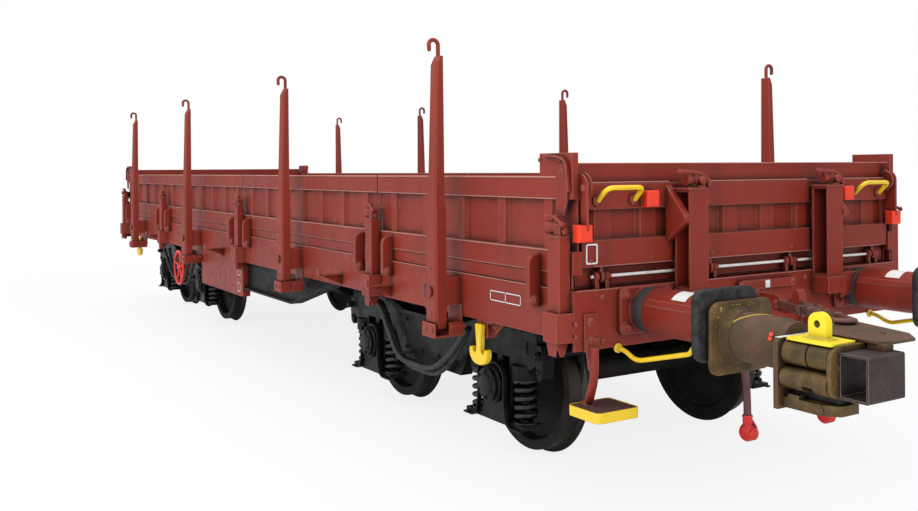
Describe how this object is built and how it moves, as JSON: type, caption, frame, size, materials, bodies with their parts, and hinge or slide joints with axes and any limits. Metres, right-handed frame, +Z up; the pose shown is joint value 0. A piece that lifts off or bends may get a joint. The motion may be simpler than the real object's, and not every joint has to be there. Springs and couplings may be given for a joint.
{
  "type": "bogie flat wagon",
  "caption": "Bogie flat wagon with ribbed drop sides, folding stakes, side buffers, screw couplings and a coupling adapter on one buffer.",
  "frame": {"origin": "under the middle of the whole outline, level with the lowest points of the wheel flanges", "axes": "+X along the wagon towards the end with the coupling adapter, +Y across to the left side, +Z up"},
  "size_m": [12.87, 3.1, 2.6578],
  "materials": {
    "wagon_red": "satin oxide red paint",
    "black_steel": "semi-gloss black paint",
    "bogie_black": "black painted casting with road dust",
    "wheel_steel": "dark steel, bright on the treads",
    "yellow": "gloss yellow paint",
    "signal_red": "gloss signal red paint",
    "orange_red": "orange-red reflector block",
    "buffer_dark": "dark greased steel",
    "floor_wood": "weathered planks",
    "adapter_rust": "rusted brown steel",
    "adapter_ochre": "ochre brown casting",
    "adapter_box_grey": "purplish brown steel",
    "bright_yellow": "fresh yellow paint",
    "hose_rubber": "dusty rubber"
  },
  "bodies": {
    "underframe": {"adapter_box": "adapter_box_grey", "adapter_jaw": "adapter_ochre", "adapter_lifting_eye": "bright_yellow", "adapter_tube": "adapter_rust", "air_brake": "black_steel", "belly_girders": "black_steel", "brake_hoses": "hose_rubber", "buffer_bases": "wagon_red", "buffer_handles": "yellow", "buffer_heads": "buffer_dark", "buffer_sleeves": "wagon_red", "centre_sills": "black_steel", "cross_bearers": "black_steel", "draw_hooks": "wagon_red", "end_boards": "wagon_red", "end_handles": "yellow", "end_hinges": "wagon_red", "end_latches": "wagon_red", "end_posts": "wagon_red", "floor": "floor_wood", "handwheels": "signal_red", "headstocks": "wagon_red", "hose_fittings": "signal_red", "lamp_blocks": "orange_red", "number_panels": "wagon_red", "post_pockets": "wagon_red", "screw_couplings": "buffer_dark", "side_boards_left": "wagon_red", "side_boards_right": "wagon_red", "side_hinges": "wagon_red", "side_latches": "wagon_red", "side_posts": "wagon_red", "sole_bars": "wagon_red", "stake_brackets": "wagon_red", "stake_rests": "wagon_red", "step_irons": "wagon_red", "step_treads": "yellow", "tow_hook_brackets": "wagon_red", "tow_hooks": "yellow"},
    "bogie_1": {"bogie_1_axle_boxes": "bogie_black", "bogie_1_brake_gear": "bogie_black", "bogie_1_frame": "bogie_black", "bogie_1_springs": "bogie_black"},
    "wheelset_1": {"wheelset_1": "wheel_steel"},
    "wheelset_2": {"wheelset_2": "wheel_steel"},
    "bogie_2": {"bogie_2_axle_boxes": "bogie_black", "bogie_2_brake_gear": "bogie_black", "bogie_2_frame": "bogie_black", "bogie_2_springs": "bogie_black"},
    "wheelset_3": {"wheelset_3": "wheel_steel"},
    "wheelset_4": {"wheelset_4": "wheel_steel"},
    "stake_right_1": {"stake_right_1": "wagon_red"},
    "stake_right_2": {"stake_right_2": "wagon_red"},
    "stake_right_3": {"stake_right_3": "wagon_red"},
    "stake_right_4": {"stake_right_4": "wagon_red"},
    "stake_left_1": {"stake_left_1": "wagon_red"},
    "stake_left_2": {"stake_left_2": "wagon_red"},
    "stake_left_3": {"stake_left_3": "wagon_red"},
    "stake_left_4": {"stake_left_4": "wagon_red"}
  },
  "joints": [
    {"name": "bogie_1_swivel", "type": "hinge", "parent": "underframe", "child": "bogie_1", "pos_m": [2.885, 0, 0.86], "axis": [0, 0, 1], "range_deg": [-5, 5]},
    {"name": "wheelset_1_spin", "type": "hinge", "parent": "bogie_1", "child": "wheelset_1", "pos_m": [3.785, 0, 0.488], "axis": [0, 1, 0], "continuous": true},
    {"name": "wheelset_2_spin", "type": "hinge", "parent": "bogie_1", "child": "wheelset_2", "pos_m": [1.985, 0, 0.488], "axis": [0, 1, 0], "continuous": true},
    {"name": "bogie_2_swivel", "type": "hinge", "parent": "underframe", "child": "bogie_2", "pos_m": [-3.715, 0, 0.86], "axis": [0, 0, 1], "range_deg": [-5, 5]},
    {"name": "wheelset_3_spin", "type": "hinge", "parent": "bogie_2", "child": "wheelset_3", "pos_m": [-4.615, 0, 0.488], "axis": [0, 1, 0], "continuous": true},
    {"name": "wheelset_4_spin", "type": "hinge", "parent": "bogie_2", "child": "wheelset_4", "pos_m": [-2.815, 0, 0.488], "axis": [0, 1, 0], "continuous": true},
    {"name": "stake_right_1_fold", "type": "hinge", "parent": "underframe", "child": "stake_right_1", "pos_m": [3.78, -1.492, 1.103], "axis": [0, 1, 0], "range_deg": [-90, 0]},
    {"name": "stake_right_2_fold", "type": "hinge", "parent": "underframe", "child": "stake_right_2", "pos_m": [1.12, -1.492, 1.103], "axis": [0, 1, 0], "range_deg": [0, 90]},
    {"name": "stake_right_3_fold", "type": "hinge", "parent": "underframe", "child": "stake_right_3", "pos_m": [-1.95, -1.492, 1.103], "axis": [0, 1, 0], "range_deg": [0, 90]},
    {"name": "stake_right_4_fold", "type": "hinge", "parent": "underframe", "child": "stake_right_4", "pos_m": [-4.61, -1.492, 1.103], "axis": [0, 1, 0], "range_deg": [0, 90]},
    {"name": "stake_left_1_fold", "type": "hinge", "parent": "underframe", "child": "stake_left_1", "pos_m": [3.78, 1.492, 1.103], "axis": [0, 1, 0], "range_deg": [-90, 0]},
    {"name": "stake_left_2_fold", "type": "hinge", "parent": "underframe", "child": "stake_left_2", "pos_m": [1.12, 1.492, 1.103], "axis": [0, 1, 0], "range_deg": [0, 90]},
    {"name": "stake_left_3_fold", "type": "hinge", "parent": "underframe", "child": "stake_left_3", "pos_m": [-1.95, 1.492, 1.103], "axis": [0, 1, 0], "range_deg": [0, 90]},
    {"name": "stake_left_4_fold", "type": "hinge", "parent": "underframe", "child": "stake_left_4", "pos_m": [-4.61, 1.492, 1.103], "axis": [0, 1, 0], "range_deg": [0, 90]}
  ]
}
